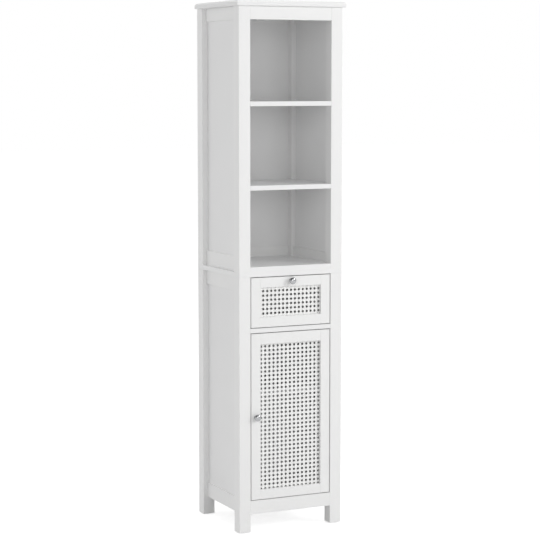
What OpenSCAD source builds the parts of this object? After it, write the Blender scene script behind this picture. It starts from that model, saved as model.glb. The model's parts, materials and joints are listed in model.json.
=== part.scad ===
// Bathroom storage tower: three open bays over one drawer and one cupboard door.
// Millimetres, +Z up, front towards -Y. Origin: on the floor, in the middle of the overall footprint.
// Frames are posts, rails and thin panels; the drawer front and the door hold woven cane.

/* [Overall] */
// height of the whole tower, floor to the face of the top board
total_h = 1700; // [1500:10:1900]
// width over the posts, left to right
body_w = 366; // [320:1:460]
// depth over the posts, front to back
body_d = 330; // [280:1:400]
// how far the top board stands out at the sides and the front
top_over = 9; // [4:0.5:16]
// thickness of the top board
top_t = 18; // [14:1:25]
// round-over on the upper edge of the top board
top_round = 6; // [2:0.5:9]

/* [Frames] */
// side of the square posts
post = 40; // [34:1:50]
// eased corner of posts
post_ease = 1.6; // [0.5:0.1:4]
// clear height under the lowest rails
foot_h = 61; // [40:1:90]
// height of the side and back rails
rail_h = 48; // [36:1:60]
// height of the rails under the top board
top_rail_h = 42; // [32:1:60]
// thickness of the rails
rail_t = 16; // [12:1:22]
// how far the side rails lie behind the faces of the posts
rail_in = 14; // [6:0.5:18]
// how far the back rails lie in front of the back faces of the posts
back_rail_in = 1; // [0:0.5:6]
// thickness of the thin side and back panels
panel_t = 5; // [3:0.5:8]
// how far the side panels lie behind the faces of the posts
panel_in = 19; // [8:0.5:24]
// how far the back panels lie in front of the back faces of the posts
back_panel_in = 8; // [4:0.5:11]
// depth of the grooves that hold the panels
groove = 6; // [3:0.5:10]
// step of rails and shelves behind the front faces of the posts
flush_step = 0.6; // [0:0.1:3]

/* [Boards] */
// thickness of shelves and of the divider
board_t = 15; // [12:0.5:20]
// underside of the middle board, which caps the lower half
middle_z = 828; // [700:1:950]
// thickness of the floor of the lowest bay
floor_t = 17; // [12:0.5:22]
// underside of the lower open shelf
shelf_low_z = 1103.5; // [950:0.5:1250]
// underside of the upper open shelf
shelf_high_z = 1369; // [1250:0.5:1500]
// underside of the divider under the drawer
divider_z = 648.5; // [500:0.5:720]
// height of the front rail under the door
front_rail_h = 44; // [30:1:60]
// underside of the shelf in the cupboard
inner_shelf_z = 440; // [200:1:560]
// set-back of the shelf in the cupboard from the back of the door
inner_shelf_set = 8; // [5:1:14]
// play at the ends of the loose shelf
shelf_play = 0.5; // [0.2:0.1:2]

/* [Fronts] */
// gap round the drawer front and the door
gap = 2.4; // [1.5:0.1:4]
// thickness of the drawer front and the door
front_t = 16; // [14:0.5:20]
// width of the upright members
stile_w = 33; // [28:0.5:45]
// height of the drawer front's rails
drawer_rail_h = 32.4; // [22:0.1:40]
// height of the door's top rail
door_top_rail_h = 35; // [25:0.5:45]
// height of the door's bottom rail
door_bottom_rail_h = 31; // [25:0.5:45]
// round on the outer upright edges
stile_round = 3; // [0.5:0.5:4]
// depth of the cane behind the front face
cane_in = 9; // [4:0.5:11]
// thickness of the woven cane
cane_t = 2; // [1.2:0.1:3]
// depth of the groove that holds the cane
cane_groove = 4; // [2:0.5:6]
// width across an eye of the cane
eye = 7.4; // [4:0.1:9]
// spacing of the eyes across the door
door_px = 14.72; // [10:0.01:20]
// spacing of the eyes up the door
door_pz = 13.63; // [10:0.01:20]
// spacing of the eyes across the drawer front
drawer_px = 14.1; // [10:0.01:20]
// spacing of the eyes up the drawer front
drawer_pz = 14.38; // [10:0.01:20]
// how far right the door's cane sits in its frame
door_dx = 1.3; // [-6:0.05:6]
// how far up the door's cane sits in its frame
door_dz = -3.75; // [-6:0.05:6]
// how far right the drawer's cane sits in its frame
drawer_dx = -2.3; // [-6:0.05:6]
// how far up the drawer's cane sits in its frame
drawer_dz = -0.9; // [-6:0.05:6]

/* [Drawer box] */
// thickness of the drawer's sides and back
box_t = 12; // [9:0.5:16]
// height of the drawer's sides
box_h = 100; // [60:1:130]
// room between the drawer and the back rails when it is shut
drawer_room = 27; // [8:1:60]
// underside of the drawer's sides above the lower edge of its front
box_rise = 10; // [6:0.5:20]
// thickness of the drawer's bottom
bottom_t = 4; // [3:0.5:8]
// how far the drawer pulls out
drawer_travel = 200; // [120:5:230]

/* [Runners] */
// room for a runner at each side of the drawer
runner_room = 12.7; // [12:0.1:14]
// thickness of the runner steel
steel = 1.2; // [1:0.1:2]
// radius of the rollers at the front of the cabinet
front_roller_r = 7.5; // [6:0.1:9]
// radius of the rollers at the back of the drawer
rear_roller_r = 7; // [5.5:0.1:8.5]
// width of a roller
roller_w = 6.6; // [4:0.1:8]
// radius of the axles
axle_r = 2; // [1.5:0.1:3]
// running fit of a roller on its axle, on the radius
run_fit = 0.05; // [0.02:0.01:0.1]
// play between a roller and its track
track_play = 0.2; // [0.1:0.05:0.5]
// height of the cabinet's channel
lane_h = 21; // [18:0.5:24]
// width of the channel's lower flange, on which the rear roller runs
lane_foot = 10; // [9:0.5:11]
// width of the channel's upper lip
lane_lip = 9; // [7:0.5:10]
// height of the drawer's track over the underside of the drawer's side
track_rise = 18; // [16:0.5:20]

/* [Hinges] */
// distance of the hinge line from the edge of the door
pivot_in = 13.2; // [12:0.1:16]
// radius of a hinge cup
cup_r = 12; // [10:0.5:13]
// centre of a cup from the edge of the door
cup_in = 16.5; // [15:0.5:20]
// wall of a cup
cup_wall = 1; // [0.6:0.1:1.5]
// wood left in front of a cup
cup_skin = 3.5; // [2:0.5:6]
// thickness of the goose-neck arm
arm_t = 2; // [1.5:0.1:3]
// height of the arm
arm_h = 7; // [5:1:10]
// angle at which the arm leaves the cup
arm_angle = 145; // [135:1:150]
// distance of each hinge from the end of the door
hinge_end = 95; // [60:5:150]
// distance of a hinge plate's screws behind the hinge line
plate_in = 26; // [24:0.5:30]
// height of a hinge plate
plate_h = 40; // [34:1:50]
// thickness of a hinge plate
plate_t = 2.5; // [2:0.1:3]
// distance of a plate's screws from its middle
plate_dz = 13; // [10:0.5:14]

/* [Hardware] */
// radius of a knob
knob_r = 11.2; // [8:0.1:16]
// how far a knob stands out
knob_out = 20; // [14:0.5:30]
// how far the drawer's knob sits above the middle of its rail
knob_up = 3; // [-4:0.5:4]
// radius of the screw in a knob
knob_screw_r = 2; // [1.5:0.1:3]
// radius of a shelf pin
pin_r = 2.5; // [2:0.1:4]
// radius of a small wood screw
screw_r = 1.6; // [1.2:0.1:2.5]
// thickness of the glides under the posts
glide_h = 3; // [2:0.5:6]
// radius of the hole for the wall screw
wall_hole_r = 2.75; // [2:0.25:4]
// width of the magnetic catch
catch_w = 15; // [10:1:20]
// width of the washer plate for the wall screw
wall_plate_w = 48; // [36:1:60]
// height of the washer plate
wall_plate_h = 24; // [18:1:30]
// radius of the cam fittings in the top side rails
cam_r = 7.5; // [6:0.5:8]
// depth of their pockets
cam_deep = 5; // [4:0.1:5.5]
// distance of a cam fitting from the post that it holds
cam_in = 34; // [24:1:50]

/* [Hidden] */
$fn = 48;
hw = body_w / 2;            // half of the width
yf = (knob_out - body_d) / 2; // front faces of the posts
yb = yf + body_d;           // back faces of the posts
xi = hw - post;             // inner faces of the posts
yi = yb - post;             // front faces of the back posts
yj = yf + post;             // back faces of the front posts
xr = hw - rail_in - rail_t; // inner faces of the side rails
xp = hw - panel_in - panel_t; // inner faces of the side panels
yr = yb - back_rail_in - rail_t; // inner face of the back rails
yp = yb - back_panel_in - panel_t; // inner face of the back panels
top_z = total_h - top_t;    // underside of the top board
mid_top = middle_z + board_t;
floor_z = mid_top + floor_t;   // floor of the lowest bay
bottom_top = foot_h + front_rail_h; // cupboard floor
div_top = divider_z + board_t;
rail_front = yf + flush_step;
front_w = 2 * (xi - gap);   // width of drawer front and door
fx = front_w / 2;
y_back = yf + front_t;      // back of drawer front and door
drawer_z0 = div_top + gap;
drawer_z1 = middle_z - gap;
door_z0 = bottom_top + gap;
door_z1 = divider_z - gap;
open_x = fx - stile_w;      // half width of the cane openings
box_x = xi - runner_room;   // outer faces of the drawer's sides
box_z = drawer_z0 + box_rise;
box_y1 = yr - drawer_room;  // back of the drawer
box_l = box_y1 - y_back;
pivot_x = fx - pivot_in;
pivot_y = yf + front_t / 2;
cup_x = fx - cup_in;
hinge_z0 = door_z0 + hinge_end;
hinge_z1 = door_z1 - hinge_end;
arm_r = 17;                 // middle radius of the goose neck
track_z = box_z + track_rise; // underside of the drawer's track
front_axle_z = track_z - track_play - front_roller_r;
rear_axle_z = track_z - 1 - rear_roller_r - track_play;
lane_z = rear_axle_z - rear_roller_r - track_play; // top of the cabinet's track
front_axle_y = y_back + 10;
rear_axle_y = box_y1 - 12;
runner_y0 = y_back + 1;
runner_y1 = yr - 9;
roller_x = xi - steel - 2.1 - roller_w; // inner end of the rollers
screw_z = lane_z + 15;      // runner screws
screw_yf = front_axle_y + 9.5;
screw_yb = runner_y1 - 8;
knob_z = drawer_z1 - drawer_rail_h / 2 + knob_up;
door_knob_x = -(fx - stile_w / 2);
door_knob_z = (door_z0 + door_z1) / 2;
catch_drop = 60;            // centre of the catch below the top of the door
catch_z = door_z1 - catch_drop;
wall_z = top_z - top_rail_h / 2;
pin_bore = 8;               // depth of a shelf pin in its post
pin_yf = yj - pin_bore;     // shelf pins in the front and back posts
pin_yb = yi + pin_bore;
pin_hid = 12;               // how far the hidden pins reach into the ends of the open shelves
cam_z = top_z - top_rail_h + cam_r + 6.5;
cam_face = xr + 2;          // a cam's face lies a little below the rail's

white = [0.93, 0.93, 0.92];
steel_c = [0.72, 0.73, 0.74];
nylon_c = [0.90, 0.90, 0.88];

// ---- shapes used by several pieces ----
// a block between two corners
module block(a, b) translate(a) cube([b[0] - a[0], b[1] - a[1], b[2] - a[2]]);

// a rectangle between two corners, with round corners
module rounded(a, b, r) {
  translate([a[0] + r, a[1]]) square([b[0] - a[0] - 2 * r, b[1] - a[1]]);
  translate([a[0], a[1] + r]) square([b[0] - a[0], b[1] - a[1] - 2 * r]);
  for (x = [a[0] + r, b[0] - r], y = [a[1] + r, b[1] - r]) translate([x, y]) circle(r);
}

// an upright bar with eased corners
module bar(a, b, r) translate([0, 0, a[2]]) linear_extrude(b[2] - a[2])
  rounded([a[0], a[1]], [b[0], b[1]], r);

// a bar that lies along X, with eased long edges
module bar_x(a, b, r) translate([a[0], 0, 0]) rotate([90, 0, 90]) linear_extrude(b[0] - a[0])
  rounded([a[1], a[2]], [b[1], b[2]], r);

// a bar that lies along Y, with eased long edges
module bar_y(a, b, r) translate([0, b[1], 0]) rotate([90, 0, 0]) linear_extrude(b[1] - a[1])
  rounded([a[0], a[2]], [b[0], b[2]], r);

module rod_x(x0, x1, y, z, r) translate([x0, y, z]) rotate([0, 90, 0]) cylinder(h = x1 - x0, r = r);
module rod_y(y0, y1, x, z, r) translate([x, y0, z]) rotate([-90, 0, 0]) cylinder(h = y1 - y0, r = r);

// both sides of the tower
module both() { children(); mirror([1, 0, 0]) children(); }

// ---- posts ----
// front post: s is the side, z0 and z1 the ends, p0 and p1 the span of the side panel
module front_post(s, z0, z1, p0, p1) difference() {
  bar([min(s * xi, s * hw), yf, z0], [max(s * xi, s * hw), yf + post, z1], post_ease);
  block([s * (hw - panel_in - panel_t / 2) - panel_t / 2, yj - groove, p0],
        [s * (hw - panel_in - panel_t / 2) + panel_t / 2, yj + 1, p1]);
}

module back_post(s, z0, z1, p0, p1) difference() {
  bar([min(s * xi, s * hw), yi, z0], [max(s * xi, s * hw), yb, z1], post_ease);
  block([s * (hw - panel_in - panel_t / 2) - panel_t / 2, yi - 1, p0],
        [s * (hw - panel_in - panel_t / 2) + panel_t / 2, yi + groove, p1]);
  block([min(s * (xi - 1), s * (xi + groove)), yp, p0],
        [max(s * (xi - 1), s * (xi + groove)), yp + panel_t, p1]);
}

// a hole along X that runs from a to b at side s
module side_hole(s, a, b, y, z, r) rod_x(min(s * a, s * b), max(s * a, s * b), y, z, r);

// heights of the pins: hidden in the ends of the open shelves, under the loose one
hidden_pins = [shelf_low_z + board_t / 2, shelf_high_z + board_t / 2];
loose_pins = [inner_shelf_z - pin_r];
module pin_holes(s, y, zs) for (z = zs) side_hole(s, xi - 1, xi + pin_bore, y, z, pin_r);

module upper_front_post(s) color(white) difference() {
  front_post(s, mid_top, top_z, mid_top + rail_h - groove, top_z - top_rail_h + groove);
  pin_holes(s, pin_yf, hidden_pins);
}
module upper_back_post(s) color(white) difference() {
  back_post(s, mid_top, top_z, mid_top + rail_h - groove, top_z - top_rail_h + groove);
  pin_holes(s, pin_yb, hidden_pins);
}
module upper_post_front_left() upper_front_post(-1);
module upper_post_front_right() upper_front_post(1);
module upper_post_back_left() upper_back_post(-1);
module upper_post_back_right() upper_back_post(1);

// pilot holes for the runner screws, and the hole for a glide's nail
module lower_holes(s, y, sy) {
  rod_x(min(s * (xi - 1), s * (xi + 14)), max(s * (xi - 1), s * (xi + 14)), sy, screw_z, screw_r);
  translate([s * (hw - post / 2), y, glide_h - 1]) cylinder(h = 13, r = pin_r);
}
module lower_front_post(s) color(white) difference() {
  front_post(s, glide_h, middle_z, foot_h + rail_h - groove, middle_z - rail_h + groove);
  lower_holes(s, yf + post / 2, screw_yf);
  pin_holes(s, pin_yf, loose_pins);
}
module lower_back_post(s) color(white) difference() {
  back_post(s, glide_h, middle_z, foot_h + rail_h - groove, middle_z - rail_h + groove);
  lower_holes(s, yb - post / 2, screw_yb);
  pin_holes(s, pin_yb, loose_pins);
}
module lower_post_front_left() lower_front_post(-1);
module lower_post_front_right() color(white) difference() {
  lower_front_post(1);
  for (z = [hinge_z0, hinge_z1], d = [-plate_dz, plate_dz])
    rod_x(xi - 1, xi + 14, plate_y, z + d, screw_r);
}
module lower_post_back_left() lower_back_post(-1);
module lower_post_back_right() lower_back_post(1);

// ---- rails and panels ----
// side rails between the posts; up tells which edge holds the panel
module side_rail(z0, z1, up) difference() {
  bar_y([xr, yj, z0], [xr + rail_t, yi, z1], 1);
  block([xp, yj - 1, up ? z1 - groove : z0 - 1], [xp + panel_t, yi + 1, up ? z1 + 1 : z0 + groove]);
}
module back_rail(z0, z1, up) difference() {
  bar_x([-xi, yr, z0], [xi, yr + rail_t, z1], 1);
  block([-xi - 1, yp, up ? z1 - groove : z0 - 1],
        [xi + 1, yp + panel_t, up ? z1 + 1 : z0 + groove]);
}
module side_panel(z0, z1) block([xp, yj - groove, z0], [xp + panel_t, yi + groove, z1]);
module back_panel(z0, z1) block([-xi - groove, yp, z0], [xi + groove, yp + panel_t, z1]);

module upper_side_top_rails() color(white) both() difference() {
  side_rail(top_z - top_rail_h, top_z, false);
  for (y = [yj + cam_in, yi - cam_in]) rod_x(xr - 1, xr + cam_deep, y, cam_z, cam_r);
}
module upper_side_bottom_rails() color(white) both() side_rail(mid_top, mid_top + rail_h, true);
module upper_back_rails() color(white) {
  difference() {
    back_rail(top_z - top_rail_h, top_z, false);
    rod_y(yr - 1, yb, 0, wall_z, wall_hole_r);
  }
  back_rail(mid_top, mid_top + rail_h, true);
}
module upper_side_panels() color(white) both()
  side_panel(mid_top + rail_h - groove, top_z - top_rail_h + groove);
module upper_back_panel() color(white)
  back_panel(mid_top + rail_h - groove, top_z - top_rail_h + groove);
module lower_side_top_rails() color(white) both() side_rail(middle_z - rail_h, middle_z, false);
module lower_side_bottom_rails() color(white) both() side_rail(foot_h, foot_h + rail_h, true);
module lower_back_rails() color(white) {
  back_rail(middle_z - rail_h, middle_z, false);
  back_rail(foot_h, foot_h + rail_h, true);
}
module lower_side_panels() color(white) both()
  side_panel(foot_h + rail_h - groove, middle_z - rail_h + groove);
module lower_back_panel() color(white)
  back_panel(foot_h + rail_h - groove, middle_z - rail_h + groove);

module upper_front_rail() color(white)
  bar_x([-xi, rail_front, top_z - top_rail_h], [xi, rail_front + rail_t, top_z], 1);
module front_bottom_rail() color(white)
  bar_x([-xi, rail_front, foot_h], [xi, rail_front + rail_t, bottom_top], 1);

// ---- boards ----
// the top board's edge is one outline run both ways, so that the corners mitre
module top_outline(a, b) {
  rounded([a, top_z], [b, top_z + 2 * top_under + 1], top_under);
  translate([a, top_z + top_under]) square([b - a, top_t - top_under - top_round]);
  translate([a + top_round, top_z]) square([b - a - 2 * top_round, top_t]);
  for (x = [a + top_round, b - top_round])
    translate([x, total_h - top_round]) circle(top_round);
}
top_under = 2;
module top_board() color(white) intersection() {
  translate([0, yb, 0]) rotate([90, 0, 0]) linear_extrude(body_d + top_over)
    top_outline(-hw - top_over, hw + top_over);
  translate([-hw - top_over, 0, 0]) rotate([90, 0, 90]) linear_extrude(body_w + 2 * top_over)
    top_outline(yf - top_over, yb);
}

// board outline that reaches x_mid between the posts and clears them at its ends
module notched(y0, y1, x_mid, play) {
  translate([-xi + play, y0]) square([2 * (xi - play), y1 - y0]);
  translate([-x_mid + play, yj + play]) square([2 * (x_mid - play), yi - yj - 2 * play]);
}
module open_shelf(z) color(white) difference() {
  intersection() {
    translate([0, 0, z]) linear_extrude(board_t) notched(rail_front, yp, xp, 0);
    bar_x([-hw, rail_front, z], [hw, yb, z + board_t], 1.2);
  }
  for (s = [-1, 1], y = [pin_yf, pin_yb])
    side_hole(s, xi - pin_hid, xi + pin_bore, y, z + board_t / 2, pin_r);
}
module shelf_high() open_shelf(shelf_high_z);
module shelf_low() open_shelf(shelf_low_z);
module bay_floor() color(white) translate([0, 0, mid_top]) linear_extrude(floor_t)
  notched(rail_front, yr, xr, 0);
module middle_board() color(white)
  bar([-hw, yf, middle_z], [hw, yb, mid_top], post_ease);
module divider_board() color(white) bar_x([-xi, rail_front, divider_z], [xi, yf + post, div_top], 1.2);
module bottom_board() color(white) translate([0, 0, bottom_top - board_t]) linear_extrude(board_t)
  notched(rail_front + rail_t, yr, xr, 0);
module inner_shelf() color(white) translate([0, 0, inner_shelf_z]) linear_extrude(board_t)
  notched(y_back + inner_shelf_set, yp - shelf_play, xp, shelf_play);

// ---- small hardware on the cabinet ----
module shelf_pins() color(steel_c) for (s = [-1, 1], y = [pin_yf, pin_yb]) {
  for (z = hidden_pins) side_hole(s, xi - pin_hid, xi + pin_bore, y, z, pin_r);
  for (z = loose_pins) side_hole(s, xi - pin_bore, xi + pin_bore, y, z, pin_r);
}
module foot_glides() color(nylon_c)
  for (x = [-hw + post / 2, hw - post / 2], y = [yf + post / 2, yb - post / 2])
    translate([x, y, 0]) rotate_extrude() {
      square([pin_r - 0.05, glide_h + 11.9]);
      translate([0, 1]) square([11, glide_h - 1]);
      square([10, glide_h]);
      translate([10, 1]) circle(1);
    }
module wall_plate() color(steel_c) difference() {
  bar_x([-wall_plate_w / 2, yr - steel - 0.8, wall_z - wall_plate_h / 2],
    [wall_plate_w / 2, yr, wall_z + wall_plate_h / 2], 0.4);
  rod_y(yr - 5, yr + 1, 0, wall_z, wall_hole_r);
}

// ---- runners: the cabinet's channel and the drawer's track, at the right side ----
module lane() {
  difference() {
    union() {
      block([xi - steel, runner_y0, lane_z - steel], [xi, runner_y1, lane_z + lane_h]);
      block([xi - lane_foot, runner_y0, lane_z - steel], [xi, runner_y1, lane_z]);
      block([xi - lane_lip, runner_y0, lane_z + lane_h - steel], [xi, runner_y1, lane_z + lane_h]);
    }
    for (y = [screw_yf, screw_yb]) rod_x(xi - 5, xi + 1, y, screw_z, screw_r);
  }
  rod_x(roller_x - 0.6, xi - steel / 2, front_axle_y, front_axle_z, axle_r);
  rod_x(roller_x + roller_w + 0.5, xi - steel / 2, front_axle_y, front_axle_z, axle_r + 1.2);
}
module runner_right() color(steel_c) lane();
module runner_left() color(steel_c) mirror([1, 0, 0]) lane();

module track() {
  block([box_x - box_t, y_back, box_z - steel], [box_x + steel, box_y1, box_z]);
  block([box_x, y_back, box_z - steel], [box_x + steel, box_y1, track_z + steel]);
  block([box_x, y_back, track_z], [xi - steel - 2.4, box_y1, track_z + steel]);
  rod_x(box_x + steel / 2, roller_x + roller_w + 0.6, rear_axle_y, rear_axle_z, axle_r);
  rod_x(box_x + steel / 2, roller_x - 0.5, rear_axle_y, rear_axle_z, axle_r + 1.2);
}
module drawer_tracks() color(steel_c) both() track();

// a roller with a rim at each side of a shallow waist
module roller(r, y, z) translate([roller_x, y, z]) rotate([0, 90, 0]) rotate_extrude()
  difference() {
    translate([axle_r + run_fit, 0]) square([r - axle_r - run_fit, roller_w]);
    translate([r + 2.4, roller_w / 2]) circle(2.8);
  }
module runner_rollers() color(nylon_c) both() roller(front_roller_r, front_axle_y, front_axle_z);
module drawer_rollers() color(nylon_c) both() roller(rear_roller_r, rear_axle_y, rear_axle_z);

// ---- drawer ----
// one upright of a front: outer edges rounded, a groove for the cane at its inner edge
module stile(s, z0, z1) difference() {
  translate([0, 0, z0]) linear_extrude(z1 - z0) intersection() {
    rounded([-fx, yf], [fx, y_back], stile_round);
    translate([s > 0 ? open_x : -fx, yf]) square([stile_w, front_t]);
  }
  block([s > 0 ? open_x - 1 : -open_x - cane_groove, yf + cane_in, z0 - 1],
        [s > 0 ? open_x + cane_groove : -open_x + 1, yf + cane_in + cane_t, z1 + 1]);
}
// one cross rail of a front; up tells which edge holds the cane
module front_rail(z0, z1, up) difference() {
  block([-open_x, yf, z0], [open_x, y_back, z1]);
  block([-open_x - 1, yf + cane_in, up ? z1 - cane_groove : z0 - 1],
        [open_x + 1, yf + cane_in + cane_t, up ? z1 + 1 : z0 + cane_groove]);
}
// woven cane, as a sheet with rows of eight-sided eyes; shift is 0 with an eye in the middle,
// or half a step with one at each side of it
module cane(z0, z1, px, pz, dx, dz, shift) {
  zm = (z0 + z1) / 2;
  sx = open_x + cane_groove;  // half of the sheet's width and height
  sz = (z1 - z0) / 2 + cane_groove;
  nx = ceil(sx / px);
  nz = ceil(sz / pz);
  translate([0, yf + cane_in + cane_t, zm]) rotate([90, 0, 0]) linear_extrude(cane_t) difference() {
    translate([-sx, -sz]) square([2 * sx, 2 * sz]);
    for (i = [-nx:nx], j = [-nz:nz]) {
      x = (i + shift) * px + dx;
      z = (j + shift) * pz + dz;
      if (abs(x) < sx && abs(z) < sz)
        translate([x, z]) rotate(22.5) circle(eye / 2 / cos(22.5), $fn = 8);
    }
  }
}

drawer_o0 = drawer_z0 + drawer_rail_h;
drawer_o1 = drawer_z1 - drawer_rail_h;
door_o0 = door_z0 + door_bottom_rail_h;
door_o1 = door_z1 - door_top_rail_h;

module drawer_stile_left() color(white) stile(-1, drawer_z0, drawer_z1);
module drawer_stile_right() color(white) stile(1, drawer_z0, drawer_z1);
module drawer_top_rail() color(white) difference() {
  front_rail(drawer_o1, drawer_z1, false);
  rod_y(yf - 1, y_back + 1, 0, knob_z, knob_screw_r);
}
module drawer_bottom_rail() color(white) difference() {
  front_rail(drawer_z0, drawer_o0, true);
  block([-open_x - 1, y_back - 5, base_z], [open_x + 1, y_back + 1, base_z + bottom_t]);
}
base_z = box_z + 8;
module drawer_cane() color([0.95, 0.94, 0.92])
  cane(drawer_o0, drawer_o1, drawer_px, drawer_pz, drawer_dx, drawer_dz, 0.5);
module drawer_side_right() color(white) difference() {
  bar_y([box_x - box_t, y_back, box_z], [box_x, box_y1, box_z + box_h], 1.5);
  block([box_x - box_t - 1, y_back - 1, base_z], [box_x - box_t + 5, box_y1 - box_t, base_z + bottom_t]);
}
module drawer_side_left() color(white) mirror([1, 0, 0]) drawer_side_right();
module drawer_back() color(white) difference() {
  bar_x([-box_x + box_t, box_y1 - box_t, box_z], [box_x - box_t, box_y1, box_z + box_h - 6], 1.5);
  block([-box_x, box_y1 - box_t - 1, base_z], [box_x, box_y1 - box_t + 5, base_z + bottom_t]);
}
module drawer_bottom() color(white) translate([0, 0, base_z]) linear_extrude(bottom_t) {
  translate([-box_x + box_t - 5, y_back]) square([2 * (box_x - box_t + 5), box_l - box_t]);
  translate([-open_x, y_back - 5]) square([2 * open_x, 10]);
  translate([-box_x + box_t, box_y1 - box_t - 1]) square([2 * (box_x - box_t), 6]);
}

// a turned knob with a drilled stem
module knob(x, z) translate([x, yf, z]) rotate([90, 0, 0]) rotate_extrude() difference() {
  union() {
    square([6.5, 2]);
    square([4.5, knob_out - 5]);
    translate([0, knob_out - 9]) square([knob_r - 2, 9]);
    translate([0, knob_out - 7]) square([knob_r, 5]);
    for (h = [knob_out - 7, knob_out - 2]) translate([knob_r - 2, h]) circle(2);
  }
  translate([0, -1]) square([knob_screw_r, 12]);
}
module knob_screw(x, z) {
  rod_y(yf - 10, y_back + 1, x, z, knob_screw_r);
  translate([x, y_back, z]) rotate([-90, 0, 0]) rotate_extrude() {
    square([4, 1.6]);
    square([3, 2.6]);
    intersection() { translate([3, 1.6]) circle(1); square([4, 3]); }
  }
}
module drawer_knob() color(steel_c) knob(0, knob_z);
module drawer_knob_screw() color(steel_c) knob_screw(0, knob_z);

// ---- door ----
module door_stile_left() color(white) difference() {
  stile(-1, door_z0, door_z1);
  rod_y(yf - 1, y_back + 1, door_knob_x, door_knob_z, knob_screw_r);
}
module door_stile_right() color(white) difference() {
  stile(1, door_z0, door_z1);
  for (z = [hinge_z0, hinge_z1]) rod_y(yf + cup_skin, y_back + 1, cup_x, z, cup_r);
}
module door_top_rail() color(white) front_rail(door_o1, door_z1, false);
module door_bottom_rail() color(white) front_rail(door_z0, door_o0, true);
module door_cane() color([0.95, 0.94, 0.92])
  cane(door_o0, door_o1, door_px, door_pz, door_dx, door_dz, 0);
module door_knob() color(steel_c) knob(door_knob_x, door_knob_z);
module door_knob_screw() color(steel_c) knob_screw(door_knob_x, door_knob_z);

// pressed cup with two ears, open to the back of the door
module cup(z) difference() {
  union() {
    rod_y(yf + cup_skin, y_back, cup_x, z, cup_r);
    for (d = [-1, 1]) block([cup_x - 8, y_back, min(z + d * 9, z + d * 20)],
      [cup_x + 8, y_back + 0.8, max(z + d * 9, z + d * 20)]);
  }
  rod_y(yf + cup_skin + cup_wall, y_back + 2, cup_x, z, cup_r - cup_wall);
  translate([pivot_x, pivot_y, z - cup_r]) cylinder(h = 2 * cup_r, r = hinge_pin_r);
}
hinge_pin_r = 1.5;
pin_half = sqrt(pow(cup_r, 2) - pow(pivot_x - cup_x + hinge_pin_r, 2)) - 0.05;
module hinge_cups() color(steel_c) { cup(hinge_z0); cup(hinge_z1); }
module hinge_pins() color(steel_c) for (z = [hinge_z0, hinge_z1])
  translate([pivot_x, pivot_y, z - pin_half]) cylinder(h = 2 * pin_half, r = hinge_pin_r);

// goose-neck arm on the cabinet, drawn round the hinge line
wedge_r = 2.4 * arm_r;
plate_y = pivot_y + plate_in;
plate_fore = 8;             // from the screws to the plate's front and back edges
plate_aft = 6;
module neck() difference() {
  union() {
    circle(3);
    rotate(arm_angle) translate([0, -arm_t / 2]) square([arm_r + arm_t / 2, arm_t]);
    intersection() {
      difference() { circle(arm_r + arm_t / 2); circle(arm_r - arm_t / 2); }
      polygon([[0, 0], wedge_r * [cos(arm_angle + 3), sin(arm_angle + 3)], [0, wedge_r],
        wedge_r * [cos(66), sin(66)]]);
    }
    rotate(70) translate([arm_r - arm_t / 2, -1]) rotate(-52) square([8, arm_t]);
    translate([xi - pivot_x - plate_t - 1, plate_in - plate_fore]) square([plate_t + 1, 4]);
  }
  circle(hinge_pin_r + run_fit);
}
module hinge_arm(z) difference() {
  union() {
    translate([pivot_x, pivot_y, z - arm_h / 2]) linear_extrude(arm_h) neck();
    bar_x([xi - plate_t, plate_y - plate_fore, z - plate_h / 2],
      [xi, plate_y + plate_aft, z + plate_h / 2], 2);
  }
  for (d = [-plate_dz, plate_dz]) rod_x(xi - 9, xi + 1, plate_y, z + d, screw_r);
}
module hinge_arms() color(steel_c) { hinge_arm(hinge_z0); hinge_arm(hinge_z1); }

module magnetic_catch() color(nylon_c) difference() {
  bar([-xi, y_back + 1.1, catch_z - 15], [-xi + catch_w, yf + post - 4, catch_z + 15], 1.5);
  block([-xi + 3, y_back, catch_z - 9], [-xi + catch_w - 3, y_back + 2, catch_z - 2]);
  block([-xi + 3, y_back, catch_z + 2], [-xi + catch_w - 3, y_back + 2, catch_z + 9]);
}
module strike_plate() color(steel_c)
  bar_x([-xi + 4, y_back, catch_z - 13], [-xi + catch_w, y_back + 0.8, catch_z + 13], 0.3);

// pan-head wood screws that hold the runners and the hinge plates
module wood_screw(s, x, y, z) translate([x, y, z]) rotate([0, s * 90, 0]) rotate_extrude() {
  translate([0, -1.6]) square([2.2, 1.6]);
  translate([0, -0.9]) square([3, 0.9]);
  square([screw_r, 14]);
}
// cam fitting with a cross slot, in its pocket
module cam(s, y) difference() {
  side_hole(s, cam_face, xr + cam_deep, y, cam_z, cam_r);
  for (a = [45, 135]) translate([s * cam_face, y, cam_z]) rotate([a, 0, 0])
    cube([1.6, 1.2, 9], center = true);
}
module hardware_screws() color(steel_c) {
  for (s = [-1, 1], y = [yj + cam_in, yi - cam_in]) cam(s, y);
  for (s = [-1, 1], y = [screw_yf, screw_yb])
    wood_screw(s, s * (xi - steel), y, screw_z);
  for (z = [hinge_z0, hinge_z1], d = [-plate_dz, plate_dz])
    wood_screw(1, xi - plate_t, plate_y, z + d);
}

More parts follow.
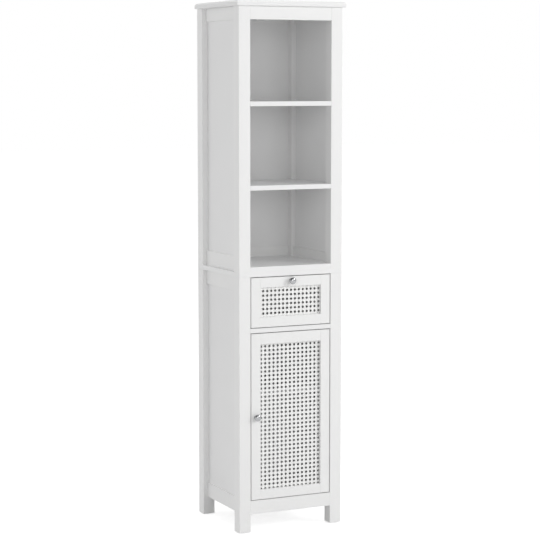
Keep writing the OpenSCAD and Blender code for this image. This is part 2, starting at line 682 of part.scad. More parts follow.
top_board();
upper_front_rail();
upper_post_front_left();
upper_post_front_right();
upper_post_back_left();
upper_post_back_right();
upper_side_top_rails();
upper_side_bottom_rails();
upper_back_rails();
upper_side_panels();
upper_back_panel();
shelf_high();
shelf_low();
bay_floor();
middle_board();
lower_post_front_left();
lower_post_front_right();
lower_post_back_left();
lower_post_back_right();
lower_side_top_rails();
lower_side_bottom_rails();
lower_back_rails();
lower_side_panels();
lower_back_panel();
divider_board();
bottom_board();
front_bottom_rail();
inner_shelf();
shelf_pins();
foot_glides();
wall_plate();
runner_left();
runner_right();
hinge_arms();
magnetic_catch();
hardware_screws();
runner_rollers();
drawer_stile_left();
drawer_stile_right();
drawer_top_rail();
drawer_bottom_rail();
drawer_cane();
drawer_side_left();
drawer_side_right();
drawer_back();
drawer_bottom();
drawer_knob();
drawer_knob_screw();
drawer_tracks();
drawer_rollers();
door_stile_left();
door_stile_right();
door_top_rail();
door_bottom_rail();
door_cane();
door_knob();
door_knob_screw();
hinge_cups();
hinge_pins();
strike_plate();
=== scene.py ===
# %% [markdown]
# # A bathroom storage tower, dressed over its CAD model
# The solids come packed from the part's source: posts, rails, boards, runners and hinges, each a node with
# its own place. This script leaves those whose shape is right where they are and only gives them a finish.
# It models again the pieces whose charm lies in detail that solids leave plain: woven cane, the frames of
# the door and the drawer, turned knobs and the moulded top. Everything is in metres, in the frame of the
# CAD model.

# %% Load the CAD frame
import bmesh
import bpy
import json
import math
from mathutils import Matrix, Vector


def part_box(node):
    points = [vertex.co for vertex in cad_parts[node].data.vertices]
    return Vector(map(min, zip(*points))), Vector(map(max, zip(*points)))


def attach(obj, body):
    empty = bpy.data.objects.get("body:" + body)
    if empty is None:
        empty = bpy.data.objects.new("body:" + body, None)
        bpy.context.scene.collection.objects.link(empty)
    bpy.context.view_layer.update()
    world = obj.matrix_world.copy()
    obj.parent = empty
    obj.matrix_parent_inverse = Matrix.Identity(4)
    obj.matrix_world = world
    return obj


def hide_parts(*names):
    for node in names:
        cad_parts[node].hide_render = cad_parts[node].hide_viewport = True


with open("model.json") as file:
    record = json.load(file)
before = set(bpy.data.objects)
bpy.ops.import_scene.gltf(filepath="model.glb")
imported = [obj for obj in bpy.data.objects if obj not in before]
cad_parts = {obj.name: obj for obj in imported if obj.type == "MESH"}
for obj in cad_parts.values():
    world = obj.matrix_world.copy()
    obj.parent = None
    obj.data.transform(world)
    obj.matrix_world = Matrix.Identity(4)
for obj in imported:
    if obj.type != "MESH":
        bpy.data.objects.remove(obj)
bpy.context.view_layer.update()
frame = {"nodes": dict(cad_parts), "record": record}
MM = 0.001           # a millimetre, in metres

# %% [markdown]
# ## The camera
# The photograph looks at the tower from its front left, a little above the middle, through a long lens: the
# side shows at about two fifths of its depth. These numbers come from solving the photograph's perspective
# from the straight edges of posts, rails and gaps. The photograph was taken level, through a lens shifted
# down. Here the camera tilts down instead, because other views keep a shift and would cut the tower off,
# and through so long a lens the two look nearly the same.

# %% Camera
STANDPOINT = (-2.51272, -5.28237, 1.45)          # metres
TILT_DOWN, TURN_RIGHT = 6.042, 25.43             # degrees
FOCAL_LENGTH, FILM_WIDTH = 119.43, 36            # mm
camera_data = bpy.data.cameras.new("camera")
camera_data.lens = FOCAL_LENGTH
camera_data.sensor_width = FILM_WIDTH
camera = bpy.data.objects.new("camera", camera_data)
camera.location = STANDPOINT
camera.rotation_euler = (math.radians(90 - TILT_DOWN), 0, math.radians(-TURN_RIGHT))
bpy.context.scene.collection.objects.link(camera)
bpy.context.scene.camera = camera
bpy.context.scene.view_settings.view_transform = "Standard"
print("camera is", round(camera.location.length, 2), "m from the tower's foot")

# %% [markdown]
# ## The studio
# A product shot on white. The key softbox stands at the front right, a little above the eye, so that knobs
# throw a soft shadow to their lower left. Five weaker ones in front, at the left, behind and overhead keep
# every side pale, and light from all round fills the bays. More lamps would be another way to a white
# background, but they would burn out a white tower. So the floor and the world show white to the camera and
# to shiny metal, while the light that they throw on the tower stays at a plain level.

# %% A helper for shader nodes
def add(tree, kind, settings=None, links=None):
    """Adds a node. settings fill its properties and sockets, and links join other outputs to its inputs."""
    node = tree.nodes.new(kind)
    for key, value in (settings or {}).items():
        if isinstance(key, str) and hasattr(node, key):
            setattr(node, key, value)
        else:
            node.inputs[key].default_value = value
    for key, output in (links or {}).items():
        tree.links.new(output, node.inputs[key])
    return node


def linear(code):
    """An sRGB hex colour such as "#F2F2F0", as the linear colour that a shader takes."""
    shares = [int(code[i:i + 2], 16) / 255 for i in (1, 3, 5)]
    return [s / 12.92 if s <= 0.04045 else ((s + 0.055) / 1.055) ** 2.4 for s in shares] + [1.0]


print("paint white is", [round(c, 3) for c in linear("#F0F0F0")])

# %% Lamps
MIDDLE = Vector((0, 0, 0.85))                    # where the lamps look, metres


def bearing(azimuth, elevation):
    """The direction from the tower's middle, azimuth in degrees to the right of straight in front."""
    around, up = math.radians(azimuth), math.radians(elevation)
    return Vector((math.sin(around) * math.cos(up), -math.cos(around) * math.cos(up), math.sin(up)))


def softbox(name, azimuth, elevation, size, level, distance=6.0):
    """A square area lamp of that size in metres; level is what it gives a white sheet that faces it."""
    way = bearing(azimuth, elevation)
    data = bpy.data.lights.new(name, "AREA")
    data.size = size
    data.energy = level * (math.pi * distance) ** 2
    lamp = bpy.data.objects.new(name, data)
    lamp.location = MIDDLE + distance * way
    lamp.rotation_euler = (-way).to_track_quat("-Z", "Y").to_euler()
    bpy.context.scene.collection.objects.link(lamp)
    return lamp


# azimuth and elevation in degrees, size in metres, level
lamps = [softbox("key_softbox", 45, 20, 1.1, 0.28),
         softbox("front_softbox", 5, 10, 2.5, 0.125),
         softbox("left_softbox", -40, 15, 2.5, 0.095),
         softbox("rear_left_softbox", -125, 10, 2.5, 0.135),
         softbox("rear_right_softbox", 130, 10, 2.5, 0.13),
         softbox("overhead_softbox", 0, 90, 2.5, 0.19)]
print("lamps:", [(lamp.name, round(lamp.data.energy)) for lamp in lamps])

# %% World
FILL = 0.47          # what the all-round light gives a surface that sees only it


def emptied(data):
    """Switches a world or a material to nodes and returns its tree, with no node in it."""
    data.use_nodes = True
    data.node_tree.nodes.clear()
    return data.node_tree


def seen(tree):
    """1 for rays from the camera, straight or by way of metal or glass, and 0 for all other light."""
    path = add(tree, "ShaderNodeLightPath")
    either = add(tree, "ShaderNodeMath", {"operation": "MAXIMUM"},
                 {0: path.outputs["Is Camera Ray"], 1: path.outputs["Is Glossy Ray"]})
    any_of_three = add(tree, "ShaderNodeMath", {"operation": "MAXIMUM"},
                       {0: either.outputs[0], 1: path.outputs["Is Transmission Ray"]})
    return any_of_three.outputs[0]


world = bpy.data.worlds.new("studio")
bpy.context.scene.world = world
tree = emptied(world)
fill = add(tree, "ShaderNodeBackground", {"Color": linear("#FFFFFF"), "Strength": FILL})
white = add(tree, "ShaderNodeBackground", {"Color": linear("#FFFFFF"), "Strength": 1.0})
both = add(tree, "ShaderNodeMixShader", {}, {0: seen(tree), 1: fill.outputs[0], 2: white.outputs[0]})
add(tree, "ShaderNodeOutputWorld", {}, {"Surface": both.outputs[0]})
print("the world gives", FILL, "and shows white")

# %% Floor
FLOOR_SIZE = 60      # metres; its far edge melts into the white world
FLOOR_GLOW = 0.68    # lifts the lit paper to white for the camera, while the tower's shadow on it stays
bpy.ops.object.select_all(action="DESELECT")
bpy.ops.mesh.primitive_plane_add(size=FLOOR_SIZE)
floor = bpy.context.object
floor.name = "studio_floor"
floor_paper = bpy.data.materials.new("white_paper_floor")
tree = emptied(floor_paper)
paper = add(tree, "ShaderNodeBsdfDiffuse", {"Color": linear("#DCDCDC")})
glow_level = add(tree, "ShaderNodeMath", {"operation": "MULTIPLY", 1: FLOOR_GLOW}, {0: seen(tree)})
glow = add(tree, "ShaderNodeEmission", {"Color": linear("#FFFFFF")}, {"Strength": glow_level.outputs[0]})
lit = add(tree, "ShaderNodeAddShader", {}, {0: paper.outputs[0], 1: glow.outputs[0]})
add(tree, "ShaderNodeOutputMaterial", {}, {"Surface": lit.outputs[0]})
floor.data.materials.append(floor_paper)
print("floor of", floor.dimensions.x, "m")

# %% [markdown]
# ## A dark card for the chrome
# In a room that is white all round, chrome looks like grey plastic. A photographer hangs a dark card above
# the camera, so that the knobs have something dark to mirror. A world that reflections see dark all round
# would turn the chrome black, while a card darkens one side only. Nothing but reflections sees this card.

# %% Dark card
CARD_SIZE, CARD_DISTANCE = 10, 6.5               # metres
to_card = bearing(azimuth=-34, elevation=42)
bpy.ops.object.select_all(action="DESELECT")
bpy.ops.mesh.primitive_plane_add(size=CARD_SIZE)
card = bpy.context.object
card.name = "dark_card"
card.location = MIDDLE + CARD_DISTANCE * to_card
card.rotation_euler = (-to_card).to_track_quat("Z", "Y").to_euler()
for rays in ("camera", "diffuse", "transmission", "shadow"):
    setattr(card, "visible_" + rays, False)
black_felt = bpy.data.materials.new("black_felt")
tree = emptied(black_felt)
felt = add(tree, "ShaderNodeBsdfDiffuse", {"Color": linear("#2A2A2A")})
add(tree, "ShaderNodeOutputMaterial", {}, {"Surface": felt.outputs[0]})
card.data.materials.append(black_felt)
print("card at", [round(c, 2) for c in card.location])

# %% [markdown]
# ## Finishes
# White furniture lives on small differences. Sprayed lacquer on solid posts and rails lets a little long
# grain telegraph through. On board it is even, with the fine orange peel of a spray gun, and thin panels
# are a touch duller. One plain white would make them all look moulded, so each has its own lacquer, from
# one function. Every pattern is worked out from a size in millimetres and read from Object coordinates, so
# it has the same scale on a post and on a rail.

# %% Patterns
def principled(name, colour, roughness, metallic=0.0):
    """A material with one Principled shader; a colour or number that doesn't vary sits on its own socket."""
    material = bpy.data.materials.new(name)
    material.use_nodes = True
    shader = material.node_tree.nodes["Principled BSDF"]
    shader.inputs["Base Color"].default_value = linear(colour)
    shader.inputs["Roughness"].default_value = roughness
    shader.inputs["Metallic"].default_value = metallic
    material.diffuse_color = linear(colour)
    return material, material.node_tree, shader


def spots(tree, size_mm, stretch=(1, 1, 1), detail=2.0, source="Object"):
    """Noise whose spots are about size_mm across, drawn out along an axis where stretch is above 1."""
    coordinates = add(tree, "ShaderNodeTexCoord")
    scale = [1 / (size_mm * MM * share) for share in stretch]
    laid = add(tree, "ShaderNodeMapping", {"Scale": scale}, {"Vector": coordinates.outputs[source]})
    return add(tree, "ShaderNodeTexNoise", {"Scale": 1.0, "Detail": detail}, {"Vector": laid.outputs[0]})


def tint(tree, shader, noise, first, second):
    """Drifts the base colour between two near shades."""
    colour_a, colour_b, colour_out = 6, 7, 2     # where the Mix node keeps its colour sockets
    mix = add(tree, "ShaderNodeMix",
              {"data_type": "RGBA", colour_a: linear(first), colour_b: linear(second)},
              {0: noise.outputs[0]})
    tree.links.new(mix.outputs[colour_out], shader.inputs["Base Color"])


def sheen(tree, shader, noise, low, high):
    """Lets the roughness wander from low to high. Noise lies mostly between 0.3 and 0.7."""
    spread = add(tree, "ShaderNodeMapRange",
                 {"From Min": 0.3, "From Max": 0.7, "To Min": low, "To Max": high},
                 {"Value": noise.outputs[0]})
    tree.links.new(spread.outputs[0], shader.inputs["Roughness"])


def relief(tree, shader, noises, depths_mm):
    """Stacks bumps, one for each noise, of the given depths in millimetres."""
    last = None
    for noise, depth in zip(noises, depths_mm):
        bump = add(tree, "ShaderNodeBump", {"Strength": 1.0, "Distance": depth * MM},
                   {"Height": noise.outputs[0]})
        if last:
            tree.links.new(last.outputs[0], bump.inputs["Normal"])
        last = bump
    tree.links.new(last.outputs[0], shader.inputs["Normal"])


print("spots 2 mm across have a noise scale of", round(1 / (2 * MM)), "to the metre")

# %% Lacquer
DRIFT, GLOSS = 160, 45                           # size of the patches of tone and of gloss in a coat, mm
PEEL, PEEL_DEPTH = 1.6, 0.012                    # orange peel of a spray gun: size and depth, mm
PORE, PORE_RUN, PORE_DEPTH = 1.4, 45, 0.022      # pores: spacing in mm, length over spacing, depth in mm


def lacquer(name, first, second, roughness, grain=None):
    """Sprayed satin lacquer. grain is the axis along which the wood's grain shows, or None on board."""
    material, tree, shader = principled(name, first, roughness)
    tint(tree, shader, spots(tree, DRIFT), first, second)
    sheen(tree, shader, spots(tree, GLOSS), roughness - 0.04, roughness + 0.05)
    layers, depths = [spots(tree, PEEL, detail=1.0)], [PEEL_DEPTH]
    if grain is not None:
        stretch = [1, 1, 1]
        stretch[grain] = PORE_RUN
        layers.append(spots(tree, PORE, stretch, detail=3.0))
        depths.append(PORE_DEPTH)
    relief(tree, shader, layers, depths)
    return material


# satin lacquer on solid wood: soft wide highlight, faint grain along the piece
post_lacquer = lacquer("satin_lacquer_on_posts", "#F0F0F0", "#F3F3F2", 0.40, grain=2)
side_rail_lacquer = lacquer("satin_lacquer_on_side_rails", "#EFEFEF", "#F2F2F1", 0.40, grain=1)
cross_rail_lacquer = lacquer("satin_lacquer_on_cross_rails", "#F0F0F0", "#F3F3F2", 0.40, grain=0)
# the same lacquer on board: no grain, even orange peel
board_lacquer = lacquer("satin_lacquer_on_board", "#F0F0F0", "#F2F2F2", 0.38)
# the top board is rubbed down after spraying, so low light doesn't flare on it
top_lacquer = lacquer("rubbed_lacquer_on_top_board", "#F0F0F0", "#F2F2F2", 0.58)
# a thinner coat on the panels: a touch duller
panel_lacquer = lacquer("satin_lacquer_on_thin_board", "#EEEEEE", "#F1F1F1", 0.46)
# the drawer's own box is plain lacquered board: duller still
box_lacquer = lacquer("white_lacquer_on_drawer_board", "#EDEDEC", "#F1F1F0", 0.5)
print("lacquers:", [m.name for m in bpy.data.materials if "lacquer" in m.name])

# %% [markdown]
# ## Cane, metal and plastic finishes
# Painted cane keeps its fine length-wise fibres. On Object coordinates they would run across half the
# strands, so their bump follows each strand by the piece's own UV map. The knobs are polished chrome plate:
# almost a mirror, a little dark. Hinges and screws have bright zinc, which is greyer and softer. Runners
# have a white epoxy coat, and rollers, catch and glides are moulded plastic.

# %% Cane paint
# painted rattan cane: matt paint whose tone drifts over 14 mm, and fibres 0.25 mm apart, which are drawn
# twice as coarse so that they show
FIBRE, FIBRE_RUN, FIBRE_DEPTH = 0.5, 40, 0.012   # spacing in mm, length over spacing, depth in mm
cane_paint, tree, shader = principled("painted_woven_cane", "#FAFAF9", 0.5)
tint(tree, shader, spots(tree, 14), "#F8F8F7", "#FCFCFB")
relief(tree, shader, [spots(tree, FIBRE, (FIBRE_RUN, 1, 1), source="UV")], [FIBRE_DEPTH])
print("fibres are", FIBRE * FIBRE_RUN, "mm long")

# %% Chrome and zinc
# polished chrome plate: a slightly dark mirror with soft breath marks 6 mm across
chrome, tree, shader = principled("polished_chrome_plate", "#A2A3A5", 0.08, metallic=1.0)
sheen(tree, shader, spots(tree, 6), 0.06, 0.12)

# bright zinc plate: soft grey sheen, cloudy over 5 mm, with the faint 2.5 mm marks and 0.9 mm dents that
# small parts get as they tumble in the plating barrel
zinc, tree, shader = principled("bright_zinc_plate", "#B9BDC1", 0.3, metallic=1.0)
tint(tree, shader, spots(tree, 5), "#B2B6BA", "#C3C6C9")
sheen(tree, shader, spots(tree, 2.5), 0.24, 0.38)
relief(tree, shader, [spots(tree, 0.9)], [0.01])
print("metals:", chrome.name, zinc.name)

# %% Epoxy, nylon and glides
# white epoxy powder coat on runner steel: semi-gloss, its tone drifting over 60 mm, with 1.2 mm orange peel
epoxy, tree, shader = principled("white_epoxy_coat", "#E9E9E6", 0.34)
tint(tree, shader, spots(tree, 60), "#E6E6E3", "#ECECEA")
relief(tree, shader, [spots(tree, 1.2)], [0.02])

# moulded nylon: slightly waxy, even over 9 mm, with the 0.4 mm spark-eroded grain of its mould
nylon, tree, shader = principled("moulded_white_nylon", "#E8E8E4", 0.42)
tint(tree, shader, spots(tree, 9), "#E5E5E0", "#EBEBE8")
relief(tree, shader, [spots(tree, 0.4)], [0.008])

# moulded glides: matt and a little greyer than the nylon, even over 7 mm, with a coarser grain of 0.5 mm
glide_plastic, tree, shader = principled("moulded_glide_plastic", "#DCDCDA", 0.5)
tint(tree, shader, spots(tree, 7), "#D8D8D5", "#E0E0DE")
relief(tree, shader, [spots(tree, 0.5)], [0.01])
print("coat and plastics:", epoxy.name, nylon.name, glide_plastic.name)

# %% [markdown]
# ## Which node gets which finish
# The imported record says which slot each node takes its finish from. White painted wood has four looks here,
# by what the piece is: upright, a rail along the side, a rail across, or a board. The name of a node says
# which, so no list of sixty names is needed.

# %% Finish the CAD nodes
SLOT = {part["node"]: part["material_slot"] for part in frame["record"]["subparts"]}
BY_SLOT = {"white_thin_board": panel_lacquer, "white_drawer_board": box_lacquer, "white_cane": cane_paint,
           "polished_knobs": chrome, "coated_runner_steel": epoxy, "zinc_plated_steel": zinc,
           "white_nylon": nylon, "white_glides": glide_plastic}


def finish_for(node):
    """The material of a node, by its slot and, for painted wood, by its name."""
    if SLOT[node] in BY_SLOT:
        return BY_SLOT[SLOT[node]]
    if "post" in node or "stile" in node:
        return post_lacquer
    if "side" in node:
        return side_rail_lacquer
    return cross_rail_lacquer if "rail" in node else board_lacquer


for name, node in frame["nodes"].items():
    if not node.data.materials:
        node.data.materials.append(None)
    for slot in node.material_slots:
        slot.material = finish_for(name)
print(len(frame["nodes"]), "nodes finished")

# %% [markdown]
# ## Tools of the bench
# A new wooden piece starts as a cube between the corners of the solid that it stands for, so it sits where
# the CAD model says with no fitting. Edges and faces are picked by their place, which keeps every later
# step readable. Easing the arrises comes last and gives paint its thin bright lines.

# %% Blocks and rounded edges
def only(piece):
    """Selects one piece and nothing else."""
    bpy.ops.object.select_all(action="DESELECT")
    piece.select_set(True)
    bpy.context.view_layer.objects.active = piece


def block(name, low, high):
    """A cube primitive between two corners, with its object at the origin."""
    low, high = Vector(low), Vector(high)
    bpy.ops.object.select_all(action="DESELECT")
    bpy.ops.mesh.primitive_cube_add(size=1, location=(low + high) / 2, scale=high - low)
    piece = bpy.context.object
    piece.name = piece.data.name = name
    bpy.ops.object.transform_apply(location=True, rotation=True, scale=True)
    return piece


def pick(piece, kind, test):
    """In edit mode, selects only the edges or faces whose middle and direction pass the test."""
    bpy.ops.mesh.select_mode(type=kind)
    bpy.ops.mesh.select_all(action="DESELECT")
    mesh = bmesh.from_edit_mesh(piece.data)
    chosen = 0
    for part in list(mesh.edges if kind == "EDGE" else mesh.faces):
        if kind == "EDGE":
            start, end = (v.co for v in part.verts)
            middle, way = (start + end) / 2, (end - start).normalized()
        else:
            middle, way = part.calc_center_median(), part.normal
        if test(middle, way):
            part.select_set(True)
            chosen += 1
    bmesh.update_edit_mesh(piece.data)
    return chosen


NEAR = 0.1 * MM      # places closer than this count as the same


def round_edges(piece, radius, steps, test):
    """Rounds the picked edges with a bevel of that radius in mm and says how many they were."""
    only(piece)
    bpy.ops.object.mode_set(mode="EDIT")
    chosen = pick(piece, "EDGE", test)
    bpy.ops.mesh.bevel(offset=radius * MM, segments=steps, affect="EDGES")
    bpy.ops.object.mode_set(mode="OBJECT")
    return chosen


for node in ("top_board", "middle_board"):
    low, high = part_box(node)
    print(node, "starts as a block of", [round(c / MM, 1) for c in high - low], "mm")

# %% Modifiers and dressing
BODY = {node: body for body, nodes in frame["record"]["behaviour"]["bodies"].items() for node in nodes}


def apply(piece, kind, **settings):
    """Adds a modifier with its settings and applies it at once."""
    only(piece)
    modifier = piece.modifiers.new(kind.lower(), kind)
    for key, value in settings.items():
        setattr(modifier, key, value)
    bpy.ops.object.modifier_apply(modifier=modifier.name)


def ease(piece, radius, steps=2):
    """Takes the sharpness off every arris that is still sharp, then shades rounds smooth and flats flat."""
    apply(piece, "BEVEL", width=radius * MM, segments=steps, limit_method="ANGLE",
          angle_limit=math.radians(50), use_clamp_overlap=True)
    bpy.ops.object.shade_smooth_by_angle(angle=math.radians(40))
    apply(piece, "WEIGHTED_NORMAL", keep_sharp=True)


def dress(piece, node, material=None):
    """Gives a piece the finish and body of the CAD node that it stands for, and hides that node."""
    piece.data.materials.clear()
    piece.data.materials.append(material or finish_for(node))
    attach(piece, BODY[node])
    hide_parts(node)
    return piece


print("bodies:", sorted(set(BODY.values())))

# %% [markdown]
# ## Top board and middle board
# The top board is moulded: its upper edge is run with a quarter round, its lower edge only eased. The usual
# order would round the corners first, but a quarter round wider than a rounded corner folds the flat top
# over itself, which shows as a dark line across it. So both edges are run round a sharp block, and the
# corners come last, with their mitres. The middle board caps the lower half. It shows as a thin line
# through the posts, because both its arrises are eased.

# %% Boards with run edges
TOP_ROUND, UNDER_ROUND, TOP_CORNER = 9.5, 2, 1.5             # upper edge, lower edge and corners, mm
low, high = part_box("top_board")
top = block("moulded_top_board", low, high)
round_edges(top, TOP_ROUND, 14, lambda m, way: m.z > high.z - NEAR and abs(way.z) < 0.1)
round_edges(top, UNDER_ROUND, 3, lambda m, way: m.z < low.z + NEAR and abs(way.z) < 0.1)
corners = round_edges(top, TOP_CORNER, 3, lambda m, way: max(abs(way.x), abs(way.y)) < 0.9)
ease(top, 0.2, 1)
dress(top, "top_board", top_lacquer)
flat_top = max(face.area for face in top.data.polygons if face.center.z > high.z - NEAR)
print("corner edges rounded:", corners, "flat top, square metres:", round(flat_top, 4))

CAP_CORNER, CAP_EASE = 1.6, 0.8                              # mm
middle = block("capping_board", *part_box("middle_board"))
round_edges(middle, CAP_CORNER, 3, lambda m, way: abs(way.z) > 0.9)
ease(middle, CAP_EASE)
dress(middle, "middle_board")
print("top board has", len(top.data.polygons), "faces, middle board", len(middle.data.polygons))

# %% [markdown]
# ## Frames of the door and the drawer front
# Each front is two stiles with two rails between them, with a groove for the cane at the inner edges. The
# outer upright arrises are well rounded. A frame could be one board with a window in it, but on the real
# one the joints are butted and painted over, so four members are made and a hairline shows where the eased
# arrises of rail and stile meet.

# %% Stiles and rails
GROOVE = 4           # depth of the cane's groove, mm
STILE_ROUND = 3      # round of the outer arrises, mm


def groove(piece, sheet, way):
    """Cuts the cane's groove: bisects the inner edge at the sheet's two faces and pushes the strip in."""
    front, back = (corner.y for corner in sheet)
    only(piece)
    bpy.ops.object.mode_set(mode="EDIT")
    for y in (front, back):
        bpy.ops.mesh.select_all(action="SELECT")
        bpy.ops.mesh.bisect(plane_co=(0, y, 0), plane_no=(0, 1, 0))
    pick(piece, "FACE", lambda m, normal: normal.dot(way) > 0.9 and front < m.y < back)
    bpy.ops.mesh.extrude_region_move(TRANSFORM_OT_translate={"value": -GROOVE * MM * way})
    bpy.ops.object.mode_set(mode="OBJECT")


def front_member(node, cane, way):
    """A stile or rail of a front. way points from it to the cane."""
    low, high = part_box(node)
    piece = block(node + "_eased", low, high)
    if abs(way.x) > 0.5:
        outer = low.x if way.x > 0 else high.x
        round_edges(piece, STILE_ROUND, 5, lambda m, along: abs(along.z) > 0.9 and abs(m.x - outer) < NEAR)
    groove(piece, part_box(cane), way)
    return piece


fronts = {}
for front in ("drawer", "door"):
    for member, way in (("stile_left", (1, 0, 0)), ("stile_right", (-1, 0, 0)),
                        ("bottom_rail", (0, 0, 1)), ("top_rail", (0, 0, -1))):
        node = f"{front}_{member}"
        fronts[node] = front_member(node, f"{front}_cane", Vector(way))
print("members of the fronts:", len(fronts))

# %% [markdown]
# ## Recesses for the hinge cups
# The cup hinges sit in round recesses that a wide bit bores into the back of the right door stile. A
# cylinder the size of a cup is taken away from the stile with an exact Boolean, before its arrises are
# eased, so that the rims of the recesses are eased with them.

# %% Recesses, then easing
EAR = 20             # how far the ears of a cup reach above and below its middle, mm
BIT = 20             # length of the cylinder, which comes out through the back of the stile, mm
FRONT_EASE = 0.6     # mm
cup_low, cup_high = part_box("hinge_cups")
for z in (cup_low.z + EAR * MM, cup_high.z - EAR * MM):
    bpy.ops.object.select_all(action="DESELECT")
    bit_middle = ((cup_low.x + cup_high.x) / 2, cup_low.y + BIT / 2 * MM, z)
    bpy.ops.mesh.primitive_cylinder_add(vertices=64, radius=(cup_high.x - cup_low.x) / 2, depth=BIT * MM,
                                        location=bit_middle, rotation=(math.pi / 2, 0, 0))
    bit = bpy.context.object
    apply(fronts["door_stile_right"], "BOOLEAN", operation="DIFFERENCE", object=bit, solver="EXACT")
    bpy.data.objects.remove(bit)

for node, piece in fronts.items():
    ease(piece, FRONT_EASE)
    dress(piece, node)
print("faces of the members:", {node: len(piece.data.polygons) for node, piece in fronts.items()})

# %% [markdown]
# ## Woven cane
# Caning is a six-way weave. Pairs of upright strands and pairs of level strands leave square cells, and two
# sets of diagonals cut the corners off, which makes the eight-sided eyes. A pattern painted on a sheet
# would look flat from the side and wouldn't let the dark through, so the strands are modelled. One strand
# is a flat strip with a domed face, bent over and under the others, and an array repeats it.

# %% One strand
STRAND = 0.2         # thickness of a flattened strand, mm
DOMED = 0.3          # how much narrower than the strand its front face is, mm
CREST = 1.5          # over 1, so that the crests of a strand's wave are cut flat


def strand(name, length, width, pieces, sway):
    """A flat strip along X from x = 0, in mm, of that many straight pieces, bent forwards by sway(x)."""
    front = -STRAND / 2
    piece = block(name, (0, front * MM, -width / 2 * MM), (length * MM, -front * MM, width / 2 * MM))
    only(piece)
    bpy.ops.object.mode_set(mode="EDIT")
    pick(piece, "FACE", lambda m, normal: normal.y < -0.9)
    bpy.ops.transform.resize(value=(1, 1, 1 - DOMED / width),
                             center_override=(length / 2 * MM, front * MM, 0))
    pick(piece, "EDGE", lambda m, way: abs(way.x) > 0.9)
    bpy.ops.mesh.subdivide(number_cuts=pieces - 1)
    bpy.ops.object.mode_set(mode="OBJECT")
    flat = piece.data.uv_layers[0]               # UV: along and across the strand, in metres
    for loop in piece.data.loops:
        co = piece.data.vertices[loop.vertex_index].co
        flat.data[loop.index].uv = (co.x, co.z)
    for vertex in piece.data.vertices:
        vertex.co.y -= sway(vertex.co.x / MM) * MM
    return piece


def repeat(piece, count, step):
    """An array of that many copies, each a step in mm from the last."""
    apply(piece, "ARRAY", count=count, use_relative_offset=False, use_constant_offset=True,
          constant_offset_displace=Vector(step) * MM)


def place(piece, offset, turn=0.0):
    """Moves a piece by offset in mm, after turning it about Y, and applies that to its mesh."""
    only(piece)
    piece.rotation_euler = (0, turn, 0)
    piece.location = Vector(offset) * MM
    bpy.ops.object.transform_apply(location=True, rotation=True, scale=True)


def wave(s, pitch):
    """A wave with flat crests: a strand lies flat where it crosses others and dips between them."""
    return max(-1.0, min(1.0, CREST * math.cos(2 * math.pi * s / pitch)))


print("a strand sways by", [round(wave(s / 8, 1), 2) for s in range(5)], "of its most in half a spacing")

# %% [markdown]
# ## Pairs and diagonals
# The two strands of a pair sway opposite ways, so one is in front where the other is behind. One set of
# diagonals rides over the upright pairs and under the level ones, and the other set does the reverse. Each
# strand could be given its own width, but then the eyes would come out as they may. Here the spacing and
# the width of the eyes are given, and every strand is as wide as the room that they leave it.

# %% Pairs and diagonals
EYE = 7.7            # width across an eye, mm: a little over the solid sheets' 7.4, so that more dark shows
PAIR_GAP = 0.24      # gap within a pair of strands, mm
WEAVE = 0.16         # how far a level or upright strand sways, mm
RIDE = 0.36          # how far a diagonal rides over or under the rest, mm
BENDS, RIDE_BENDS = 6, 8                         # straight pieces in one spacing, diagonals last


def pairs(pitch_x, pitch_z, eyes_x, eyes_z, x, y, z):
    """Upright and level pairs round every eye. x, y, z is the lowest crossing at the left, in mm."""
    wide_x, wide_z = ((pitch - EYE - PAIR_GAP) / 2 for pitch in (pitch_x, pitch_z))
    off_x, off_z = (wide_x + PAIR_GAP) / 2, (wide_z + PAIR_GAP) / 2
    made = []
    for side in (-1, 1):
        upright = strand("upright", eyes_z * pitch_z, wide_x, eyes_z * BENDS,
                         lambda s: side * WEAVE * wave(s - pitch_z / 4, pitch_z))
        place(upright, (0, 0, 0), -math.pi / 2)  # what ran along X now runs up
        place(upright, (x + side * off_x, y, z))
        repeat(upright, eyes_x + 1, (pitch_x, 0, 0))
        level = strand("level", eyes_x * pitch_x, wide_z, eyes_x * BENDS,
                       lambda s: -side * WEAVE * wave(s - pitch_x / 4, pitch_x))
        place(level, (x, y, z + side * off_z))
        repeat(level, eyes_z + 1, (0, 0, pitch_z))
        made += [upright, level]
    return made


def diagonals(pitch_x, pitch_z, eyes_x, eyes_z, x, y, z):
    """Strands that cut the cells' corners, one set rising to the right and one falling. They meet a pair
    half-way between its crossings."""
    slope = pitch_z / pitch_x
    height = pitch_z - EYE * math.hypot(1, slope)            # upright; leaves EYE clear across the slant
    made = []
    for way in (1, -1):
        diagonal = strand("diagonal", eyes_x * pitch_x, height, eyes_x * RIDE_BENDS,
                          lambda s: way * RIDE * wave(s, pitch_x))
        for vertex in diagonal.data.vertices:
            vertex.co.z += way * slope * vertex.co.x
        start = z + pitch_z / 2 - ((eyes_x + 1) * pitch_z if way > 0 else pitch_z)
        place(diagonal, (x, y, start))
        repeat(diagonal, eyes_z + eyes_x + 2, (0, 0, pitch_z))
        made.append(diagonal)
    return made


print("an eye is", EYE, "mm across")

# %% [markdown]
# ## The whole sheet
# A caner weaves past the frame and trims what is over. So does this: the strands are made a little too
# long, joined into one mesh, and cut off and closed along the border of the CAD sheet, which lies in the
# groove.

# %% Joining and trimming
def joined(parts):
    """Joins pieces into the first of them."""
    bpy.ops.object.select_all(action="DESELECT")
    for part in parts:
        part.select_set(True)
    bpy.context.view_layer.objects.active = parts[0]
    bpy.ops.object.join()
    return parts[0]


